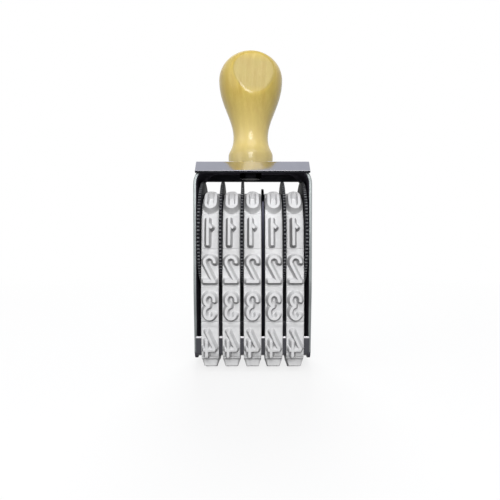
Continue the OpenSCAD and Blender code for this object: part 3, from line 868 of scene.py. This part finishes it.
def figureStrokes():
    # each figure upright and readable, as (line, closed)
    x, y = (figure["wide"] - figure["line"]) / 2, (figure["tall"] - figure["line"]) / 2
    w, h = figure["wide"] / 2, figure["tall"] / 2
    bar = lambda *points: (points, False)
    ring = lambda cx, cy, rx, ry: (arcPoints(cx, cy, rx, ry, 0, 360 - 360 / 40, 39), True)
    arc = lambda cx, cy, rx, ry, *ends: [(arcPoints(cx, cy, rx, ry, a, b, 16), False) for a, b in ends]
    up, down = h * figure["squat"] - figure["line"] / 2 - x, figure["zeroDown"]
    oval = arcPoints(0, up - down, x, x, 0, 180, 20) + arcPoints(0, -up - down, x, x, 180, 360, 20)
    six = [ring(0, -y * 0.44, x, y * 0.56), bar((-x, -y * 0.44), *arcPoints(0, y - x, x, x, 180, 20))]
    return [
        [(oval, True)],
        [bar((0.67, -h), (0.67, h)), bar((0.67, 2.5), (-0.72, 1.2))],
        [bar(*arcPoints(0, y - x, x, x, 196, -28, 30), (-x + 0.22, -y + 0.1)), bar((-w, -y), (w, -y))],
        arc(0, y * 0.53, x * 0.96, y * 0.47, (200, 60), (84, -96)) +
        arc(0, -y * 0.49, x, y * 0.51, (94, -44), (-20, -158)),
        [bar((1.0, 0.8), (1.0, -h)), bar((-1.9, -2.14), (w, -2.14)), bar((1.02, 4.0), (-1.76, -2.12))],
        [bar((w, y), (-w, y)), bar((-x, h), (-x, y * 0.1))] +
        arc(-x * 0.04, -y * 0.44, x * 1.04, y * 0.56, (150, 20), (50, -70), (-44, -152)),
        six,
        [bar((-w, y), (w, y)), bar((x * 0.9, y), (-x * 0.3, -h))],
        [ring(0, y * 0.54, x * 0.94, y * 0.46), ring(0, -y * 0.46, x, y * 0.54)],
        [([(-a, -b) for a, b in line], closed) for line, closed in six],
    ]


def flankPaintedShade(normal):
    # painted shade on the flanks: darkest below the figures as they stand on the front, then on their left,
    # least on their right
    if abs(normal.z) > 0.8:
        return 0.0
    return max(figure["paintedShadeLeft"] * max(-normal.x, 0), figure["paintedShadeRight"] * max(normal.x, 0),
               figure["paintedShadeUnder"] * max(normal.y, 0))


def uniteStrokes(name, strokes, soil, apart=0.003):
    # one solid of all strokes, which lie a hair apart in height so that no two faces coincide
    pieces = [strokeSolid(line, closed, -apart * k) for k, (line, closed) in enumerate(strokes)]
    base = pieces[0]
    for other in pieces[1:]:
        union = base.modifiers.new("union", "BOOLEAN")
        union.operation = "UNION"
        union.solver = "EXACT"
        union.object = other
        applyModifiers(base)
        bpy.data.objects.remove(other)
    shape = bmesh.new()
    shape.from_mesh(base.data)
    bmesh.ops.remove_doubles(shape, verts=shape.verts, dist=2e-3)
    for k in range(-12, 13):        # cuts across, so that the figure can follow the path
        bmesh.ops.bisect_plane(shape, geom=shape.verts[:] + shape.edges[:] + shape.faces[:],
                               plane_co=(0, k * figure["cutEvery"], 0), plane_no=(0, 1, 0), dist=1e-5)
    bmesh.ops.triangulate(shape, faces=[f for f in shape.faces if len(f.verts) > 4])
    for vert in shape.verts:        # turned over on the band, and so mirrored for printing
        vert.co = Vector((-vert.co.x, -vert.co.y, vert.co.z)) * mm
    shape.to_mesh(base.data)
    shape.free()
    base.name = name
    # painted shade on the flanks, scaled by this figure's share
    markFaces(base, "soil", lambda centre, normal: soil * flankPaintedShade(normal))
    return base


figureSet = bpy.data.collections.new("figures")
for k, strokes in enumerate(figureStrokes()):
    piece = uniteStrokes("figure%d" % k, strokes, 1.0 if k else figure["paintedShadeZero"])
    scene.collection.objects.unlink(piece)
    figureSet.objects.link(piece)


band = {"wide": 5.85, "pitch": 7.1, "edgeR": 0.42, "innerR": 0.15, "groove": 0.25, "grooveHalf": 0.32,
        "ledge": 1.3, "ledgeHigh": 0.07, "ledgeFade": 0.12, "skin": 0.5, "paintedShadeInner": 0.1, "cuts": 230,
        "lineCuts": (-0.34, -0.24, -0.16, -0.08, 0, 0.08, 0.16, 0.24, 0.34, 1.28, 1.34, 1.44),
        "drift": {2: 0.75}, "driftEases": [("Y", 0, 8), ("Z", 3, 11), ("Z", 34, 27.5)]}


def beltHeight(s):
    # how far the outer side stands in or out at s: a groove at each line and a low ledge below it
    b = band
    ledgeEnd = b["ledge"] + b["ledgeFade"]
    best = 0.0
    for k in range(-1, run["places"] + 2):
        d = s - (run["roll"] + (k - 1) * spacing)
        if abs(d) < b["grooveHalf"]:
            groove = b["groove"] * (1 + math.cos(math.pi * d / b["grooveHalf"])) / 2
            return max(d, 0) / b["grooveHalf"] * b["ledgeHigh"] - groove
        if b["grooveHalf"] <= d < ledgeEnd:
            best = b["ledgeHigh"] * min(1, (ledgeEnd - d) / b["ledgeFade"])
    return best


def beltPiece(name):
    # a flat belt along Y, open at both ends, which meet once it is bent round the path
    stations = {round(loop * k / band["cuts"], 5) for k in range(band["cuts"] + 1)}
    for k in range(run["places"] + 1):
        line = run["roll"] + (k - 1) * spacing
        stations |= {round(line + d, 5) for d in band["lineCuts"] if 0 < line + d < loop}
    stations = sorted(stations)
    points = []
    for s in stations:
        lift = beltHeight(s)
        section = roundedSection(band["wide"] / 2, -run["thick"], 0, band["innerR"], band["edgeR"], 5)
        points += [(across, s, out + lift * max(0, 1 + out / band["skin"])) for across, out in section]
    around = len(points) // len(stations)
    piece = meshPiece(name, points, ringFaces(len(stations), around))
    # painted shade: the belt's inner side is darkened
    inner = band["paintedShadeInner"] - run["thick"]
    markFaces(piece, "soil", lambda centre, normal: 1.0 if centre.z < inner else 0.0)
    return piece


def wrapTree():
    # stands the figures in a row on the flat belt, then bends the row round the path
    tree, given, result = newTree("wrapOnRun", [
        ("Belt", "Geometry"), ("Figures", "Collection"), ("Run", "Object"), ("Count", "Int"),
        ("First", "Float"), ("Spacing", "Float"), ("Length", "Float"), ("Across", "Float"),
        ("Drift", "Float"), ("Finish", "Material")], "Band")
    row = addNode(tree, "GeometryNodeMeshLine", {
        "Count": given["Count"], "Start Location": vectorOf(tree, Y=given["First"]),
        "Offset": vectorOf(tree, Y=given["Spacing"])})
    figures = addNode(tree, "GeometryNodeCollectionInfo", {
        "Collection": given["Figures"], "Separate Children": True, "Reset Children": True})
    placed = addNode(tree, "GeometryNodeInstanceOnPoints", {
        "Points": row[0], "Instance": figures[0], "Pick Instance": True,
        "Instance Index": addNode(tree, "GeometryNodeInputIndex")[0]})
    solid = addNode(tree, "GeometryNodeRealizeInstances", {"Geometry": placed[0]})

    parts = partsOf(tree, addNode(tree, "GeometryNodeInputPosition")[0])
    share = mathNode(tree, "FRACT", mathNode(tree, "DIVIDE", parts["Y"], given["Length"]))
    curve = addNode(tree, "GeometryNodeObjectInfo", {"Object": given["Run"]})
    sample = addNode(tree, "GeometryNodeSampleCurve", {"Curves": curve["Geometry"], "Factor": share},
                     mode="FACTOR")
    out = vectorNode(tree, "CROSS_PRODUCT", sample["Tangent"], (1, 0, 0))
    lifted = addNode(tree, "ShaderNodeVectorMath", {0: out, "Scale": parts["Z"]}, operation="SCALE")
    onRun = vectorNode(tree, "ADD", sample["Position"], lifted[0])
    # the free run at the back wanders sideways between the disc and the platen
    at = partsOf(tree, sample["Position"])
    eases = [fade(tree, at[axis], start * mm, end * mm, kind="SMOOTHSTEP")
             for axis, start, end in band["driftEases"]]
    wander = mathNode(tree, "MULTIPLY", mathNode(tree, "MULTIPLY", eases[0], eases[1]), eases[2])
    across = mathNode(tree, "MULTIPLY_ADD", wander, given["Drift"], given["Across"])
    sideways = vectorOf(tree, X=mathNode(tree, "ADD", parts["X"], across))
    bent = addNode(tree, "GeometryNodeSetPosition", {
        "Geometry": joinShapes(tree, solid[0], given["Belt"]),
        "Position": vectorNode(tree, "ADD", onRun, sideways)})
    turned = addNode(tree, "GeometryNodeFlipFaces", {"Mesh": bent[0]})
    closed = addNode(tree, "GeometryNodeMergeByDistance", {"Geometry": turned[0], "Distance": 2e-6})
    return endTree(tree, closed[0], given["Finish"], result)


bandRun = pathObject()
wrap = wrapTree()
for number in range(1, 6):
    piece = beltPiece("numberBand%d" % number)
    runTree(piece, wrap, {
        "Figures": figureSet, "Run": bandRun, "Count": 10,
        "First": (run["roll"] - figure["margin"] - figure["tall"] / 2) * mm, "Spacing": spacing * mm,
        "Length": loop * mm, "Across": (number - 3) * band["pitch"] * mm,
        "Drift": band["drift"].get(number, 0) * mm, "Finish": rubber})
    place(piece, root, "band_rubber", rubber, "number_band_%d" % number, smooth=32)
    if number == 1:
        print("one band has", len(piece.data.polygons), "faces")
bpy.data.objects.remove(bandRun)
for piece in list(figureSet.objects):
    bpy.data.objects.remove(piece)
bpy.data.collections.remove(figureSet)
print("bands wrapped")


pad = {"thick": 0.8, "half": 19.1, "wallTop": 12.0, "highlightFrom": 11.4, "edgeR": 0.14, "every": 6}


def platenPiece():
    # the sheet lies inside the belt's path, up to the height of its walls
    p = pad
    inward = run["thick"] + p["thick"] / 2
    line = [(y + inward * cosine(a), axle["height"] + h + inward * sine(a)) for _, y, h, a in whole
            if axle["height"] + h <= p["wallTop"] + 0.02]
    line = line[:-1:p["every"]] + [line[-1]]
    section = roundedSection(p["half"], -p["thick"] / 2, p["thick"] / 2, p["edgeR"], p["edgeR"], 3)
    return ribbon("platenChannel", line, lambda i: section, p["edgeR"])


# painted highlight along the platen's front top edge
dullSteel = metalFinish("dullSteel", (0.08, 0.08, 0.09), (0.30, 0.42), streak=(0.3, 4, 4), edge=0.4,
                        lip=pad["highlightFrom"])
darkSteel = metalFinish("darkSteel", (0.025, 0.025, 0.034), (0.28, 0.40), streak=(4, 4, 0.4), edge=0.3)
platenChannel = platenPiece()
place(platenChannel, root, "platen_steel", dullSteel, "platen")

plain = [   # name, node, edge, steps, slot, finish
    ("partitionPlate", "centre_partition", 0.12, 2, "steel", darkSteel),
    ("crossBar", "platen_bar", 0.2, 3, "platen_steel", dullSteel)]
for name, node, edge, steps, slot, finish in plain:
    place(softenEdges(copyNode(name, node), edge, steps, 40), root, slot, finish, node, smooth=30)
print("platen and partition done")


keptFinish = {"handle_stud": nutSteel, "axle_washers": pinSteel}
keptFinish.update({"number_wheel_%d" % k: wheelPlastic for k in range(1, 6)})
for node, material in keptFinish.items():
    kept = frame["nodes"][node]
    if kept.material_slots:
        for slot in kept.material_slots:
            slot.material = material
    else:
        kept.data.materials.append(material)


# lamps and camera stand in metres, the floor and the ceiling in millimetres
studio = {
    "lamps": [      # name, place, height aimed at, size, power, seen in bright metal
        ("key", (0.055, -0.455, 0.464), 0.05, 0.5, 1.55, True),
        ("front", (0.0, -0.585, 0.235), 0.05, 0.26, 1.95, True),
        ("side", (-0.45, -0.25, 0.22), 0.08, 0.4, 0.5, True),
        ("rear", (0.0, 0.40, 0.50), 0.05, 0.25, 2.2, False)],
    "fill": 0.13, "floorSeen": 0.88, "floorBounce": 0.12, "floorGlow": (0.80, 1.0), "glowFrom": 40.0,
    "glowTo": 360.0, "floorHalf": 3000, "ceiling": (0.44, 0.45, 0.50), "ceilingHalf": 450, "ceilingHigh": 640,
    "camera": (0.0, -0.170, 0.04726), "lens": 33.48, "shift": (-0.0052, -0.036),
}


def seenRay(tree):
    # 1 for camera, glossy and transmission rays
    path = addNode(tree, "ShaderNodeLightPath")
    both = mathNode(tree, "ADD", path["Is Camera Ray"], path["Is Glossy Ray"])
    return mathNode(tree, "MINIMUM", mathNode(tree, "ADD", both, path["Is Transmission Ray"]), 1.0)


def makeSheet(name, finish, half, high, face):
    # a level square of the studio, with an empty tree for its finish
    corners = [(-half, -half, high), (half, -half, high), (half, half, high), (-half, half, high)]
    sheet = meshPiece(name, corners, [face], solid=False)
    material, tree, shader = newFinish(finish)
    tree.nodes.remove(shader)
    sheet.data.materials.append(material)
    return tree, tree.nodes["Material Output"].inputs["Surface"]


def makeFloor():
    # pale to the camera, with the object's shadow close by and white far off
    tree, surface = makeSheet("floor", "paleFloor", studio["floorHalf"], 0, (0, 1, 2, 3))
    seen = seenRay(tree)
    colour = mixColour(tree, seen, (studio["floorBounce"],) * 3, (studio["floorSeen"],) * 3)
    diffuse = addNode(tree, "ShaderNodeBsdfDiffuse", {"Color": colour})
    glow = addNode(tree, "ShaderNodeEmission", {"Color": (1, 1, 1, 1), "Strength": 1.0})
    away = addNode(tree, "ShaderNodeVectorMath", {0: mapped(tree)}, operation="LENGTH")["Value"]
    share = fade(tree, away, studio["glowFrom"], studio["glowTo"], *studio["floorGlow"])
    mixed = addNode(tree, "ShaderNodeMixShader", {0: mathNode(tree, "MULTIPLY", seen, share), 1: diffuse[0],
                                                  2: glow[0]})
    tree.links.new(mixed[0], surface)


def makeWorld():
    world = bpy.data.worlds.new("studio")
    world.use_nodes = True
    scene.world = world
    tree = world.node_tree
    level = mathNode(tree, "MULTIPLY_ADD", seenRay(tree), 1 - studio["fill"], studio["fill"])
    back = tree.nodes["Background"]
    back.inputs["Color"].default_value = (1, 1, 1, 1)
    tree.links.new(level, back.inputs["Strength"])


def makeLamp(name, where, aim, size, power, glint):
    lamp = bpy.data.lights.new(name, "AREA")
    lamp.shape = "DISK"
    lamp.size = size
    lamp.energy = power
    rig = newObject(name, lamp)
    rig.location = where
    rig.visible_glossy = glint
    rig.rotation_euler = (Vector((0, 0, aim)) - Vector(where)).to_track_quat("-Z", "Y").to_euler()


def makeCeiling():
    tree, surface = makeSheet("ceiling", "greyCeiling", studio["ceilingHalf"], studio["ceilingHigh"],
                              (3, 2, 1, 0))
    glow = addNode(tree, "ShaderNodeEmission", {"Color": (*studio["ceiling"], 1), "Strength": 1.0})
    tree.links.new(glow[0], surface)


makeFloor()
makeCeiling()
makeWorld()
for lamp in studio["lamps"]:
    makeLamp(*lamp)

cameraData = bpy.data.cameras.new("view")
cameraData.lens = studio["lens"]
cameraData.sensor_width = 36
cameraData.shift_x, cameraData.shift_y = studio["shift"]
cameraData.clip_start = 0.005
camera = newObject("view", cameraData)
camera.location = studio["camera"]
camera.rotation_euler = (math.radians(90), 0, 0)
scene.camera = camera
scene.view_settings.view_transform = "Standard"
print("studio set")

bpy.context.view_layer.update()
